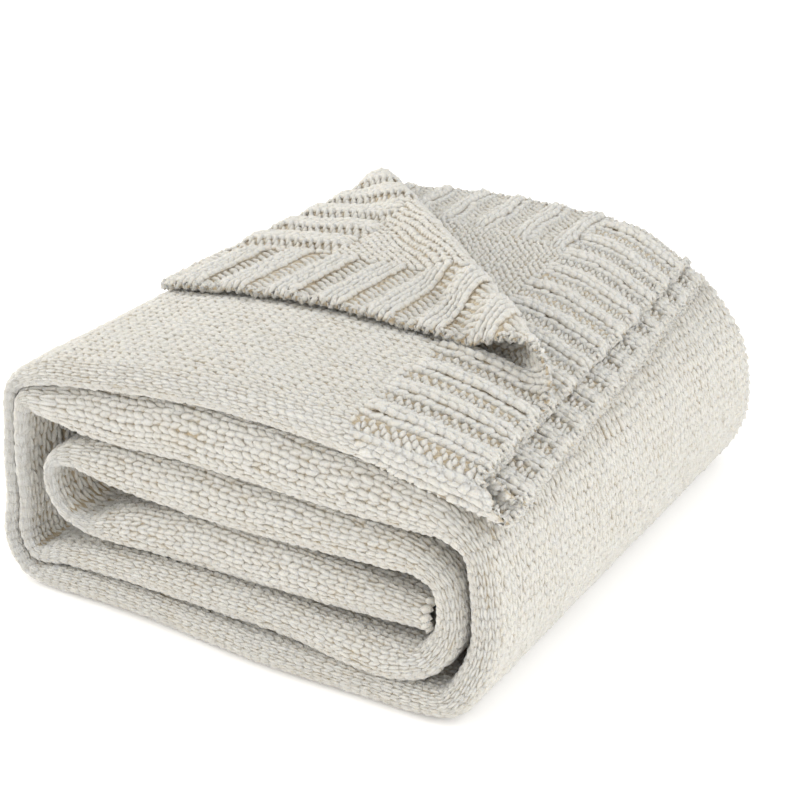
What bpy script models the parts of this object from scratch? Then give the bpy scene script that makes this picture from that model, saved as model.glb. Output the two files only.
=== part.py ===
"""A chunky knit throw, folded in quarters across its width and then rolled flat along its length.

The cloth is one sheet. A point of it has flat coordinates: s runs along the length from the hem that
ends on top of the stack, and t runs across the width from the selvage of the uppermost layer.
The roll is a flat spiral in the plane of X and Z, and the quarter fold runs along Y.
Metres, +Z up. The long front face looks along -Y, and the roll's broad plain end faces +X.
"""

import math
from collections import namedtuple

import bmesh
import bpy
import numpy as np

MM = 0.001

# The cloth, laid flat
WIDTH = 1270 * MM
CLOTH = 2.7 * MM
BORDER = 61 * MM
EDGE = 4 * MM
RIB_PITCH = 26 * MM
RIB_WIDTH = 12 * MM
RIB_RISE = 1.0 * MM
RIB_FALL = 0.5 * MM
HIDDEN_LESS = 0.6

# The quarter fold, as lengths of cloth across the width
OUTER_FOLD = 27 * MM
INNER_FOLD = 12 * MM
BACK_FOLD = 12 * MM
LAYER = (WIDTH - OUTER_FOLD - INNER_FOLD - BACK_FOLD) / 4
FOLDS = (
    (LAYER, LAYER + OUTER_FOLD),
    (2 * LAYER + OUTER_FOLD, 2 * LAYER + OUTER_FOLD + BACK_FOLD),
    (WIDTH - LAYER - INNER_FOLD, WIDTH - LAYER),
)

# How far back the layers reach, less at the plain end of the roll, and how the folds bulge
BACK_Y = 300 * MM
RIGHT_BACK_Y = 274 * MM
RIGHT_ZONE = (200 * MM, 257 * MM)
SELVAGE_STEP = 4 * MM
FRONT_BULGE = 9 * MM
FRONT_FOOT = 8 * MM
FOOT_HEIGHT = 34 * MM

# The strips at the front stand out unevenly along the cloth: waves of so much, so many a metre
Wave = namedtuple("Wave", "height turns start")
FRONT_WAVES = (
    Wave(1.5, 3.34, 0.10),
    Wave(1.05, 7.48, 0.32),
)

# The inner fold lies behind the front, further where the front is drawn tight
INNER_FOLD_Y = 16 * MM
INNER_FOLD_TIGHT = 38 * MM
FRONT_ZONE = (8 * MM, 46 * MM)
TIGHT_HALF = (3.2 * MM, 7.5 * MM)
TIGHT_SHIFT = (0.5 * MM, 3.0 * MM)
BACK_PUFF = 0.65

# The hem on top of the stack runs a little askew, and its lower layers stand out past the upper ones
HEM_SLANT = 0.105
HEM_FADE = 235 * MM
LOWER_HEM_STEP = 9 * MM

# The corner of the uppermost layer is turned over along a line from the hem to the selvage
FLAP_ON_HEM = 238 * MM
FLAP_ON_SELVAGE = 222 * MM
FLAP_SIDE = 226 * MM
ROLL_AT_HEM = 8 * MM
ROLL_AT_SELVAGE = 5 * MM
FLAP_LIFT = 5.6 * MM
FLAP_SETTLE = 22 * MM
FLAP_ROLL_CELLS = 5

# One turn of the roll: the outer side of the outermost turn, from the hem at the top right, leftwards,
# down, rightwards and up again. Each later turn lies against the inner side of the turn before it.
# x, z: where the outer side runs. cells: steps of the mesh to the next row. outer, middle, inner:
# thickness of the four layers in the first, second and third turn. Millimetres.
Row = namedtuple("Row", "x z cells outer middle inner")
TURN = (
    Row(268, 110, 1, 15.0, 17.0, 13.2),
    Row(250, 117, 1, 17.5, 17.0, 13.2),
    Row(238, 120, 1, 18.0, 22.5, 13.2),
    Row(205, 126, 2, 17.5, 28.0, 20.5),
    Row(150, 128.5, 2, 15.5, 30.0, 25.0),
    Row(95, 127, 1, 14.0, 30.0, 26.0),
    Row(50, 121, 1, 13.2, 27.0, 21.0),
    Row(25, 114.5, 2, 13.2, 22.0, 13.2),
    Row(9, 100, 1, 13.2, 13.2, 13.2),
    Row(1, 75, 1, 13.2, 13.2, 13.2),
    Row(-1, 47, 1, 13.2, 13.2, 13.2),
    Row(2, 24, 2, 13.2, 13.2, 13.2),
    Row(16, 5, 2, 13.2, 13.2, 13.2),
    Row(40, 0, 1, 13.2, 13.5, 13.2),
    Row(80, 0, 1, 13.2, 15.5, 21.5),
    Row(150, 0, 1, 13.2, 16.5, 24.0),
    Row(222, 0, 2, 13.2, 17.0, 24.5),
    Row(245, 5, 2, 13.2, 14.0, 13.2),
    Row(258, 29, 1, 13.2, 13.2, 13.2),
    Row(259, 61, 1, 13.2, 13.2, 13.2),
    Row(251, 87, 2, 13.2, 13.2, 13.2),
)
HEM_ROW = 1
FIRST_SHARED = 2
TOP_ROW = 4
BOTTOM_ROW = 15
LAST_ROW = 16

# At the front edge the turned ends are drawn tight. row: the row of TURN. x, z: where the outer side
# runs there. outer, middle: thickness in the first and second turn there. Millimetres.
Tight = namedtuple("Tight", "row x z outer middle")
FRONT = (
    Tight(6, 50, 121, 13.2, 27.0),
    Tight(7, 25, 114.5, 12.0, 20.0),
    Tight(8, 7, 101, 6.6, 11.0),
    Tight(9, 1, 74, 6.6, 6.6),
    Tight(10, -1, 42, 6.6, 6.6),
    Tight(11, 0, 18, 6.6, 6.6),
    Tight(12, 12, 4.5, 6.6, 6.6),
    Tight(13, 34, 0, 11.0, 11.0),
)

# Two bends lie free of the turn around them: the right curl, from the second turn into the third, and
# the left bend of the third turn. row, turn: their place in the spiral. x, z: the outer side inside the
# stack. front_x: the outer side at the front edge. thick, front_thick: their thickness. Millimetres.
Free = namedtuple("Free", "row turn x z front_x thick front_thick")
FREE = (
    Free(17, 1, 230.5, 19.0, 230.5, 14.0, 14.0),
    Free(18, 1, 241.3, 33.0, 241.3, 13.2, 13.2),
    Free(19, 1, 243.8, 51.0, 243.8, 13.2, 13.2),
    Free(20, 1, 238.5, 67.0, 238.5, 13.6, 13.6),
    Free(2, 2, 223.5, 76.5, 223.5, 16.0, 16.0),
    Free(7, 2, 38.5, 76.5, 39.0, 14.0, 13.0),
    Free(8, 2, 30.5, 68.5, 28.0, 13.2, 6.6),
    Free(9, 2, 28.5, 57.0, 25.0, 13.2, 6.6),
    Free(10, 2, 31.0, 46.0, 28.5, 13.2, 6.6),
    Free(11, 2, 36.5, 38.0, 36.5, 13.2, 6.6),
    Free(12, 2, 47.0, 33.5, 48.0, 13.2, 9.0),
    Free(13, 2, 60.0, 31.5, 60.0, 18.0, 16.0),
    Free(16, 2, 226.5, 35.8, 226.5, 15.5, 15.5),
)
PACKED = 13.2 * MM
TURN_GAP = 0.9 * MM
FREE_SINK = 1.6
SAMPLES = 8

# Mesh columns of each stretch of the quarter fold: shares of a layer's reach, from its front fold back
OUTER_LAYER_COLUMNS = (0.09, 0.18, 0.48, 0.79)
INNER_LAYER_COLUMNS = (0.13, 0.79)
OUTER_FOLD_CELLS = 6
SMALL_FOLD_CELLS = 3

WELD = 1.5 * MM

YARN_COLOR = (0.62, 0.60, 0.53, 1.0)
YARN_ROUGHNESS = 0.95

Path = namedtuple("Path", "x z normal_x normal_z thick")


def smooth(low, high, value):
    """0 below low, 1 above high, and a soft step between."""
    part = np.clip((value - low) / (high - low), 0.0, 1.0)
    return part * part * (3.0 - 2.0 * part)


def curve(values, chord, at):
    """A smooth curve through values, which stand at the distances in chord, read at the distances at."""
    slope = np.gradient(values, chord)
    index = np.clip(np.searchsorted(chord, at, side="right") - 1, 0, len(chord) - 2)
    span = chord[index + 1] - chord[index]
    u = (at - chord[index]) / span
    ends = values[index] * (2 * u**3 - 3 * u**2 + 1) + values[index + 1] * (3 * u**2 - 2 * u**3)
    slopes = slope[index] * (u**3 - 2 * u**2 + u) + slope[index + 1] * (u**3 - u**2)
    return ends + slopes * span


def row_order():
    """The rows of TURN in the order in which the spiral passes them, each with its turn."""
    order = [(row, 0) for row in range(len(TURN))]
    order += [(row, 1) for row in range(FIRST_SHARED, len(TURN))]
    order += [(row, 2) for row in range(FIRST_SHARED, LAST_ROW + 1)]
    return order


def spiral(tight, puff):
    """The roll's outer side, its inward normals and its thickness, SAMPLES to a row, in order.

    tight is 1 at the front edge and 0 inside. puff is the share of their air that the layers keep.
    """
    outline = np.array([[row.x, row.z] for row in TURN], dtype=float)
    thick = np.array([[row.outer, row.middle, row.inner] for row in TURN]) * MM
    full = thick[TOP_ROW].sum() + thick[BOTTOM_ROW].sum()
    thick -= np.maximum(thick - PACKED, 0.0) * (1.0 - puff)
    sunk = (thick[TOP_ROW].sum() + thick[BOTTOM_ROW].sum()) / full
    for edge in FRONT:
        drawn = np.array([edge.outer, edge.middle]) * MM
        thick[edge.row, :2] += tight * (drawn - thick[edge.row, :2])
        outline[edge.row] += tight * (np.array([edge.x, edge.z]) - outline[edge.row])
    free = {(bend.row, bend.turn): bend for bend in FREE}

    order = row_order()
    period = len(TURN) - FIRST_SHARED
    points = [(x * MM, z * MM * sunk) for x, z in outline]
    depth = [thick[row, turn] for row, turn in order]
    for index, place in enumerate(order):
        if place in free:
            bend = free[place]
            side = bend.x + tight * (bend.front_x - bend.x)
            depth[index] = (bend.thick + tight * (bend.front_thick - bend.thick)) * MM
            fall = FREE_SINK * (1.0 - sunk) * max(bend.z * MM - 2 * PACKED, 0.0)
            points.append((side * MM, bend.z * MM - fall))
        elif index >= len(TURN):
            source = index - period
            run = np.subtract(points[source + 1], points[source - 1])
            step = (depth[source] + TURN_GAP) / np.hypot(*run)
            points.append((points[source][0] - run[1] * step, points[source][1] + run[0] * step))

    x, z = np.array(points).T
    chord = np.concatenate([[0.0], np.cumsum(np.hypot(np.diff(x), np.diff(z)))])
    at = np.interp(np.arange((len(order) - 1) * SAMPLES + 1) / SAMPLES, np.arange(len(order)), chord)
    fine_x = curve(x, chord, at)
    fine_z = np.maximum(curve(z, chord, at), 0.0)
    run_x, run_z = np.gradient(fine_x), np.gradient(fine_z)
    length = np.hypot(run_x, run_z)
    return Path(fine_x, fine_z, -run_z / length, run_x / length, curve(np.array(depth), chord, at))


AT_FRONT = spiral(1.0, 1.0)
INSIDE = spiral(0.0, 1.0)
AT_BACK = spiral(0.0, BACK_PUFF)


def lengths_along():
    """Distance along the cloth at each sample of the path, 0 at the hem on top."""
    x = INSIDE.x + INSIDE.normal_x * INSIDE.thick / 2
    z = INSIDE.z + INSIDE.normal_z * INSIDE.thick / 2
    run = np.concatenate([[0.0], np.cumsum(np.hypot(np.diff(x), np.diff(z)))])
    return run - run[HEM_ROW * SAMPLES]


ALONG = lengths_along()
LENGTH = ALONG[-1]


def path_at(s, y):
    """Position, inward normal and thickness of the roll at s, at depth y."""
    back = np.clip((y - INNER_FOLD_Y) / (BACK_Y - INNER_FOLD_Y), 0.0, 1.0)
    inner = smooth(*FRONT_ZONE, y)
    shares = ((1.0 - inner) * (1.0 - back), inner * (1.0 - back), back)
    found = []
    for name in Path._fields:
        parts = [np.interp(s, ALONG, getattr(path, name)) for path in (AT_FRONT, INSIDE, AT_BACK)]
        found.append(sum(share * part for share, part in zip(shares, parts)))
    x, z, normal_x, normal_z, thick = found
    size = np.hypot(normal_x, normal_z)
    return x, z, normal_x / size, normal_z / size, thick


def front_y(s):
    """Where the front of the outer fold lies: strips bulge unevenly, and the lowest stand out furthest."""
    wave = sum(part.height * MM * np.sin(math.tau * (part.turns * s + part.start)) for part in FRONT_WAVES)
    foot = np.clip(1.0 - np.interp(s, ALONG, AT_FRONT.z) / FOOT_HEIGHT, 0.0, 1.0)
    return wave - FRONT_FOOT * foot


def back_y(s):
    """Where the back of the layers lies: the plain end of the roll is drawn in a little."""
    right = smooth(*RIGHT_ZONE, np.interp(s, ALONG, INSIDE.x))
    return BACK_Y + right * (RIGHT_BACK_Y - BACK_Y)


def relief(s, t):
    """How far the ribs of the borders stand out of the cloth towards its outer side."""
    def rib(distance):
        phase = np.mod(distance, RIB_PITCH)
        peak = np.clip(1.0 - np.abs(phase - RIB_WIDTH / 2) / (RIB_WIDTH / 2), 0.0, 1.0)
        return peak * (RIB_RISE + RIB_FALL) - RIB_FALL

    def band(distance):
        return np.clip((BORDER - distance) / EDGE, 0.0, 1.0)

    side = np.minimum(t, WIDTH - t)
    on_top = np.clip((FLAP_SIDE - s) / EDGE, 0.0, 1.0)
    hidden = smooth(LAYER + OUTER_FOLD, LAYER + OUTER_FOLD + EDGE, t)
    hidden *= smooth(0.0, EDGE, WIDTH - LAYER - INNER_FOLD - t)
    folds = np.select([(t > start) & (t < end) for start, end in FOLDS], [0.0 * t] * len(FOLDS), 1.0)
    hem = rib(t) * band(s) * (1.0 - HIDDEN_LESS * hidden) * folds
    selvage = rib(s - BORDER) * band(side) * on_top
    return np.where(s <= BORDER, hem, selvage)


def flap_beyond(s, t):
    """How far a flat place lies beyond the line on which the corner is turned over."""
    size = math.hypot(FLAP_ON_HEM, FLAP_ON_SELVAGE)
    return (FLAP_ON_HEM * FLAP_ON_SELVAGE - s * FLAP_ON_HEM - t * FLAP_ON_SELVAGE) / size


def turn_over(s, t):
    """Turn the corner of the uppermost layer over.

    Gives the flat place that each point comes to lie over, its lift, and 1 for cloth that lies right
    side out, down to -1 for cloth that is turned over.
    """
    size = math.hypot(FLAP_ON_HEM, FLAP_ON_SELVAGE)
    past = np.maximum(flap_beyond(s, t), 0.0)
    share = np.clip(t / FLAP_ON_HEM, 0.0, 1.0)
    radius = ROLL_AT_SELVAGE + (ROLL_AT_HEM - ROLL_AT_SELVAGE) * share
    angle = np.minimum(past / radius, math.pi)
    laid = np.maximum(past - math.pi * radius, 0.0)
    lift = radius * (1.0 - np.cos(angle)) + smooth(0.0, FLAP_SETTLE, laid) * (FLAP_LIFT - 2.0 * radius)
    back = past + laid - radius * np.sin(angle)
    return s + back * FLAP_ON_HEM / size, t + back * FLAP_ON_SELVAGE / size, lift, np.cos(angle)


def quarter_fold(s, t):
    """Depth y of a point, its place from 0 on the outer layer to 1 on the inner one, and whether it is
    on one of the two lower layers.
    """
    front_half = (np.interp(s, ALONG, AT_FRONT.thick) - CLOTH) / 2
    bulge = np.minimum(FRONT_BULGE, front_half)
    front = front_y(s) + bulge
    drawn = 1.0 - smooth(*TIGHT_HALF, front_half)
    shift = np.hypot(INSIDE.x - AT_FRONT.x, INSIDE.z - AT_FRONT.z)
    drawn = np.maximum(drawn, smooth(*TIGHT_SHIFT, np.interp(s, ALONG, shift)))
    inner_bulge = (np.interp(s, ALONG, INSIDE.thick) - CLOTH) / 6
    inner_front = INNER_FOLD_Y + inner_bulge + drawn * INNER_FOLD_TIGHT
    back_bulge = (np.interp(s, ALONG, AT_BACK.thick) - CLOTH) / 6
    back = back_y(s)
    upper_back = back - SELVAGE_STEP
    fold_back = back - back_bulge

    ends = np.cumsum([LAYER, OUTER_FOLD, LAYER, BACK_FOLD, LAYER, INNER_FOLD, LAYER])
    starts = np.concatenate([[0.0], ends[:-1]])
    share = [np.clip((t - start) / (end - start), 0.0, 1.0) for start, end in zip(starts, ends)]
    turn = [math.pi * part for part in share]
    choices = [t <= end for end in ends[:-1]]
    y = np.select(
        choices,
        [
            upper_back + (front - upper_back) * share[0],
            front - bulge * np.sin(turn[1]),
            front + (fold_back - front) * share[2],
            fold_back + back_bulge * np.sin(turn[3]),
            fold_back + (inner_front - fold_back) * share[4],
            inner_front - inner_bulge * np.sin(turn[5]),
        ],
        inner_front + (back - inner_front) * share[6],
    )
    place = np.select(
        choices,
        [
            0.0 * t,
            (1.0 - np.cos(turn[1])) / 2,
            1.0 + 0.0 * t,
            1.0 - (1.0 - np.cos(turn[3])) / 6,
            2.0 / 3.0 + 0.0 * t,
            2.0 / 3.0 - (1.0 - np.cos(turn[5])) / 6,
        ],
        1.0 / 3.0 + 0.0 * t,
    )
    lower = smooth(ends[0], ends[1], t) * (1.0 - smooth(ends[4], ends[5], t))
    return y, place, lower


def fold(s, t):
    """World position of the middle of the cloth at flat coordinates s and t, as arrays."""
    rise = relief(s, t)
    over_s, over_t, lift, facing = turn_over(s, t)
    y, place, lower = quarter_fold(over_s, over_t)
    fade = np.clip(1.0 - over_s / HEM_FADE, 0.0, None)
    place_s = over_s + fade * (HEM_SLANT * y - lower * LOWER_HEM_STEP)
    x, z, normal_x, normal_z, thick = path_at(place_s, y)
    inward = CLOTH / 2 + place * (thick - CLOTH) - lift - rise * facing
    return np.stack([x + normal_x * inward, y, z + normal_z * inward], axis=-1)


def row_lines():
    """Mesh lines across the cloth: the border of the hem, then the rows of the spiral."""
    lines = [0.0, BORDER / 2, BORDER - EDGE, BORDER]
    order = row_order()
    for index, (row, _) in enumerate(order[:-1]):
        cells = TURN[row].cells
        for step in range(cells):
            along = ALONG[index * SAMPLES + step * SAMPLES // cells]
            if along > BORDER + EDGE:
                lines.append(along)
    return lines + [LENGTH]


def column_lines():
    """Mesh lines along the cloth: the stretches of the quarter fold, and the borders of the selvages."""
    def bend(cells):
        return [step / cells for step in range(1, cells)]

    outward = list(OUTER_LAYER_COLUMNS)
    inward = [1.0 - share for share in reversed(outward)]
    deep = list(INNER_LAYER_COLUMNS)
    stretches = (
        (LAYER, inward),
        (OUTER_FOLD, bend(OUTER_FOLD_CELLS)),
        (LAYER, outward),
        (BACK_FOLD, bend(SMALL_FOLD_CELLS)),
        (LAYER, [1.0 - share for share in reversed(deep)]),
        (INNER_FOLD, bend(SMALL_FOLD_CELLS)),
        (LAYER, deep),
    )
    lines = [0.0]
    for size, shares in stretches:
        start = lines[-1]
        lines += [start + size * share for share in shares + [1.0]]
    lines[1] = BORDER
    lines[-2] = WIDTH - BORDER
    return lines


def cut(flat, inside, point, normal):
    """Add a mesh line to the faces whose middle passes the test."""
    faces = [face for face in flat.faces if inside(face.calc_center_median())]
    edges = {edge for face in faces for edge in face.edges}
    verts = {vert for face in faces for vert in face.verts}
    bmesh.ops.bisect_plane(
        flat, geom=faces + list(edges) + list(verts), dist=1e-6, plane_co=point, plane_no=normal
    )


def flat_sheet():
    """The cloth laid flat in s and t, with mesh lines for its folds and ribs."""
    rows, columns = row_lines(), column_lines()
    flat = bmesh.new()
    bmesh.ops.create_grid(flat, x_segments=len(rows) - 1, y_segments=len(columns) - 1, size=0.5)
    for vert in flat.verts:
        row = round((vert.co.x + 0.5) * (len(rows) - 1))
        column = round((vert.co.y + 0.5) * (len(columns) - 1))
        vert.co = (rows[row], columns[column], 0.0)

    ribs = [rib * RIB_PITCH + part * RIB_WIDTH / 2 for rib in range(50) for part in range(3)]
    for line in ribs:
        bent = any(start - EDGE < line < end + EDGE for start, end in FOLDS)
        hidden = LAYER + OUTER_FOLD < line < 2 * LAYER + OUTER_FOLD
        if 0.0 < line < WIDTH and not bent and not hidden:
            cut(flat, lambda at: at.x < BORDER, (0, line, 0), (0, 1, 0))
        if line < FLAP_SIDE - BORDER:
            place = (BORDER + line, 0, 0)
            cut(flat, lambda at: at.x < FLAP_SIDE + BORDER and at.y < BORDER, place, (1, 0, 0))
            cut(flat, lambda at: at.x < FLAP_SIDE + BORDER and at.y > WIDTH - BORDER, place, (1, 0, 0))

    full = flap_beyond(0.0, 0.0)
    for step in range(FLAP_ROLL_CELLS + 3):
        rolled = math.pi * min(step, FLAP_ROLL_CELLS) / FLAP_ROLL_CELLS
        laid = FLAP_SETTLE * max(step - FLAP_ROLL_CELLS, 0) / 2
        on_hem = FLAP_ON_HEM * (1.0 - (rolled * ROLL_AT_HEM + laid) / full)
        on_selvage = FLAP_ON_SELVAGE * (1.0 - (rolled * ROLL_AT_SELVAGE + laid) / full)
        across = (on_hem, on_selvage, 0.0)
        cut(flat, lambda at: at.x < FLAP_SIDE and at.y < LAYER, (0.0, on_hem, 0.0), across)
    bmesh.ops.remove_doubles(flat, verts=flat.verts[:], dist=WELD)
    return flat


def yarn():
    """Cream chenille yarn."""
    material = bpy.data.materials.new("cream chenille")
    material.use_nodes = True
    shader = material.node_tree.nodes["Principled BSDF"]
    shader.inputs["Base Color"].default_value = YARN_COLOR
    shader.inputs["Roughness"].default_value = YARN_ROUGHNESS
    material.diffuse_color = YARN_COLOR
    return material


def blanket(collection):
    """The folded cloth as one closed solid."""
    sheet = flat_sheet()
    places = np.array([vert.co for vert in sheet.verts])
    for vert, place in zip(sheet.verts, fold(places[:, 0], places[:, 1])):
        vert.co = place
    bmesh.ops.triangulate(sheet, faces=sheet.faces[:])
    mesh = bpy.data.meshes.new("blanket")
    sheet.to_mesh(mesh)
    sheet.free()

    piece = bpy.data.objects.new("blanket", mesh)
    collection.objects.link(piece)
    thicken = piece.modifiers.new("cloth thickness", "SOLIDIFY")
    thicken.thickness = CLOTH
    thicken.offset = 0.0
    solid = bpy.data.meshes.new_from_object(piece.evaluated_get(bpy.context.evaluated_depsgraph_get()))
    piece.modifiers.remove(thicken)
    piece.data = solid

    corners = np.array([vert.co for vert in solid.vertices])
    low, high = corners.min(axis=0), corners.max(axis=0)
    middle = ((low[0] + high[0]) / 2, (low[1] + high[1]) / 2, low[2])
    for vert in solid.vertices:
        vert.co = (vert.co.x - middle[0], vert.co.y - middle[1], vert.co.z - middle[2])
    solid.shade_smooth()
    solid.materials.append(yarn())
    return piece


def main():
    for item in list(bpy.data.objects):
        bpy.data.objects.remove(item, do_unlink=True)
    collection = bpy.data.collections.new("folded knit throw")
    bpy.context.scene.collection.children.link(collection)
    blanket(collection)


main()
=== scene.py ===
"""A chunky cream knit throw, folded in quarters across its width and then rolled flat along its length.

The cloth is one sheet. A point of it has flat coordinates: s runs along the length from the hem that
ends on top of the stack, t runs across the width from the selvage of the uppermost layer, and a height
stands off the middle of the cloth towards its knit side. The folds carry a point from there to its place
in the stack. The knit side and the purl side carry their own yarn, laid stitch by stitch in flat
coordinates wherever the cloth shows. Metres, +Z up. The long front face looks along -Y.
"""

import math
from collections import namedtuple

import bpy
import numpy as np
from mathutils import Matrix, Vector
from mathutils.bvhtree import BVHTree

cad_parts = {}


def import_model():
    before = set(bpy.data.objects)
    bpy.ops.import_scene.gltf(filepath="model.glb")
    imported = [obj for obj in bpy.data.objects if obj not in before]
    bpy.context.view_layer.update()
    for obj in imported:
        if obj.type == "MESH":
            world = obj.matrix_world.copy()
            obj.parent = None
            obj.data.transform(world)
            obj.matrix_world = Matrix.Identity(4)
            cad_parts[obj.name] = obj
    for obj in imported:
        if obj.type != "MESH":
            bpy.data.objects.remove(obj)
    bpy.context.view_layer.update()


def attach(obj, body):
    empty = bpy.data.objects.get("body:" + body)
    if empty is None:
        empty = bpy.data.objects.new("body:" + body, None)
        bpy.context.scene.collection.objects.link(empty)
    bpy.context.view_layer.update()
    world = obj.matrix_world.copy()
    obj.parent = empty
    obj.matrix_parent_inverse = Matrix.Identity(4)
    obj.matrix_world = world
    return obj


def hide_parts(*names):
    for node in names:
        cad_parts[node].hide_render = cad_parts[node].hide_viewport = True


MM = 0.001

# The cloth, laid flat
WIDTH = 1270 * MM
CLOTH = 2.7 * MM
BORDER = 61 * MM
EDGE = 4 * MM
RIB_PITCH = 26 * MM
RIB_WIDTH = 14 * MM
RIB_RISE = 1.6 * MM
RIB_FALL = 1.3 * MM

# A rib's flank starts this far outside the rib, and is this share of the rib's width. The hem's ribs are
# less marked by the last share between the outer fold and the inner one.
RIB_SHOULDER = 1.2 * MM
RIB_FLANK = 0.45
HIDDEN_LESS = 0.6

# The quarter fold, as lengths of cloth across the width
OUTER_FOLD = 27 * MM
INNER_FOLD = 12 * MM
BACK_FOLD = 12 * MM
LAYER = (WIDTH - OUTER_FOLD - INNER_FOLD - BACK_FOLD) / 4
OUTER_START = LAYER
OUTER_END = LAYER + OUTER_FOLD
BACK_START = 2 * LAYER + OUTER_FOLD
BACK_END = BACK_START + BACK_FOLD
INNER_START = WIDTH - LAYER - INNER_FOLD
INNER_END = WIDTH - LAYER

# How far back the layers reach, less at the plain end of the roll, and how the folds bulge
BACK_Y = 300 * MM
RIGHT_BACK_Y = 274 * MM
RIGHT_ZONE = (200 * MM, 257 * MM)
SELVAGE_STEP = 4 * MM
FRONT_BULGE = 9 * MM
FRONT_FOOT = 8 * MM
FOOT_HEIGHT = 34 * MM

# The strips at the front stand out unevenly along the cloth: waves of so much, so many a metre
Wave = namedtuple("Wave", "height turns start")
FRONT_WAVES = (
    Wave(1.5, 3.34, 0.10),
    Wave(1.05, 7.48, 0.32),
)

# The inner fold lies behind the front, further where the front is drawn tight
INNER_FOLD_Y = 16 * MM
INNER_FOLD_TIGHT = 38 * MM
FRONT_ZONE = (8 * MM, 46 * MM)
TIGHT_HALF = (3.2 * MM, 7.5 * MM)
TIGHT_SHIFT = (0.5 * MM, 3.0 * MM)
BACK_PUFF = 0.65

# The hem on top of the stack runs a little askew, and its lower layers stand out past the upper ones
HEM_SLANT = 0.105
HEM_FADE = 235 * MM
LOWER_HEM_STEP = 9 * MM
LOWER_HEM_FRONT = 18 * MM

# The corner of the uppermost layer is turned over along a line from the hem to the selvage
FLAP_ON_HEM = 238 * MM
FLAP_ON_SELVAGE = 222 * MM
FLAP_LINE = math.hypot(FLAP_ON_HEM, FLAP_ON_SELVAGE)
FLAP_SIDE = 226 * MM
ROLL_AT_HEM = 10 * MM
ROLL_AT_SELVAGE = 5 * MM
FLAP_LIFT = 5.6 * MM
FLAP_SETTLE = 22 * MM
CORNER_RADIUS = 17 * MM

# One turn of the roll: the outer side of the outermost turn, from the hem at the top right, leftwards,
# down, rightwards and up again. Each later turn lies against the inner side of the turn before it.
# x, z: where the outer side runs. outer, middle, inner: thickness of the four layers in the first,
# second and third turn. Millimetres.
Row = namedtuple("Row", "x z outer middle inner")
TURN = (
    Row(268, 110, 15.0, 17.0, 13.2),
    Row(250, 117, 17.5, 17.0, 13.2),
    Row(238, 120, 18.0, 22.5, 13.2),
    Row(205, 126, 17.5, 28.0, 20.5),
    Row(150, 128.5, 15.5, 30.0, 25.0),
    Row(95, 127, 14.0, 30.0, 26.0),
    Row(50, 121, 13.2, 27.0, 21.0),
    Row(25, 114.5, 13.2, 22.0, 13.2),
    Row(9, 100, 13.2, 13.2, 13.2),
    Row(1, 75, 13.2, 13.2, 13.2),
    Row(-1, 47, 13.2, 13.2, 13.2),
    Row(2, 24, 13.2, 13.2, 13.2),
    Row(16, 5, 13.2, 13.2, 13.2),
    Row(40, 0, 13.2, 13.5, 13.2),
    Row(80, 0, 13.2, 15.5, 21.5),
    Row(150, 0, 13.2, 16.5, 24.0),
    Row(222, 0, 13.2, 17.0, 24.5),
    Row(245, 5, 13.2, 14.0, 13.2),
    Row(258, 29, 13.2, 13.2, 13.2),
    Row(259, 61, 13.2, 13.2, 13.2),
    Row(251, 87, 13.2, 13.2, 13.2),
)
HEM_ROW = 1
FIRST_SHARED = 2
TOP_ROW = 4
BOTTOM_ROW = 15
LAST_ROW = 16
LEFT_FOOT_ROW = 12

# At the front edge the turned ends are drawn tight. row: the row of TURN. x, z: where the outer side
# runs there. outer, middle: thickness in the first and second turn there. Millimetres.
Tight = namedtuple("Tight", "row x z outer middle")
FRONT = (
    Tight(6, 50, 121, 13.2, 27.0),
    Tight(7, 25, 114.5, 12.0, 20.0),
    Tight(8, 7, 101, 6.6, 11.0),
    Tight(9, 1, 74, 6.6, 6.6),
    Tight(10, -1, 42, 6.6, 6.6),
    Tight(11, 0, 18, 6.6, 6.6),
    Tight(12, 12, 4.5, 6.6, 6.6),
    Tight(13, 34, 0, 11.0, 11.0),
)

# Two bends lie free of the turn around them: the right curl, from the second turn into the third, and
# the left bend of the third turn. row, turn: their place in the spiral. x, z: the outer side inside the
# stack. front_x: the outer side at the front edge. thick, front_thick: their thickness. Millimetres.
Free = namedtuple("Free", "row turn x z front_x thick front_thick")
FREE = (
    Free(17, 1, 230.5, 19.0, 230.5, 14.0, 14.0),
    Free(18, 1, 241.3, 33.0, 241.3, 13.2, 13.2),
    Free(19, 1, 243.8, 51.0, 243.8, 13.2, 13.2),
    Free(20, 1, 238.5, 67.0, 238.5, 13.6, 13.6),
    Free(2, 2, 223.5, 76.5, 223.5, 16.0, 16.0),
    Free(7, 2, 38.5, 76.5, 39.0, 14.0, 13.0),
    Free(8, 2, 30.5, 68.5, 28.0, 13.2, 6.6),
    Free(9, 2, 28.5, 57.0, 25.0, 13.2, 6.6),
    Free(10, 2, 31.0, 46.0, 28.5, 13.2, 6.6),
    Free(11, 2, 36.5, 38.0, 36.5, 13.2, 6.6),
    Free(12, 2, 47.0, 33.5, 48.0, 13.2, 9.0),
    Free(13, 2, 60.0, 31.5, 60.0, 18.0, 16.0),
    Free(16, 2, 226.5, 35.8, 226.5, 15.5, 15.5),
)

# Thickness of the four layers drawn tight, the gap between turns, how far the free bends sink for each
# share that the stack is thinner, and points of the path for each row
PACKED = 13.2 * MM
TURN_GAP = 0.9 * MM
FREE_SINK = 1.6
SAMPLES = 8

# The middle of the stack's footprint, which the frame has at its origin
MIDDLE = np.array([129.0, 144.745, 0.0]) * MM

# Stitch sizes: wales lie side by side across the knitting, courses follow each other along it
COURSE = 4.7 * MM
WALE = 5.4 * MM
NOSE_WALE = 3.9 * MM
RAISED_WALE = RIB_WIDTH / 2
SUNKEN_WALE = (RIB_PITCH - RIB_WIDTH) / 2
BEAD = 5.0 * MM

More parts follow.
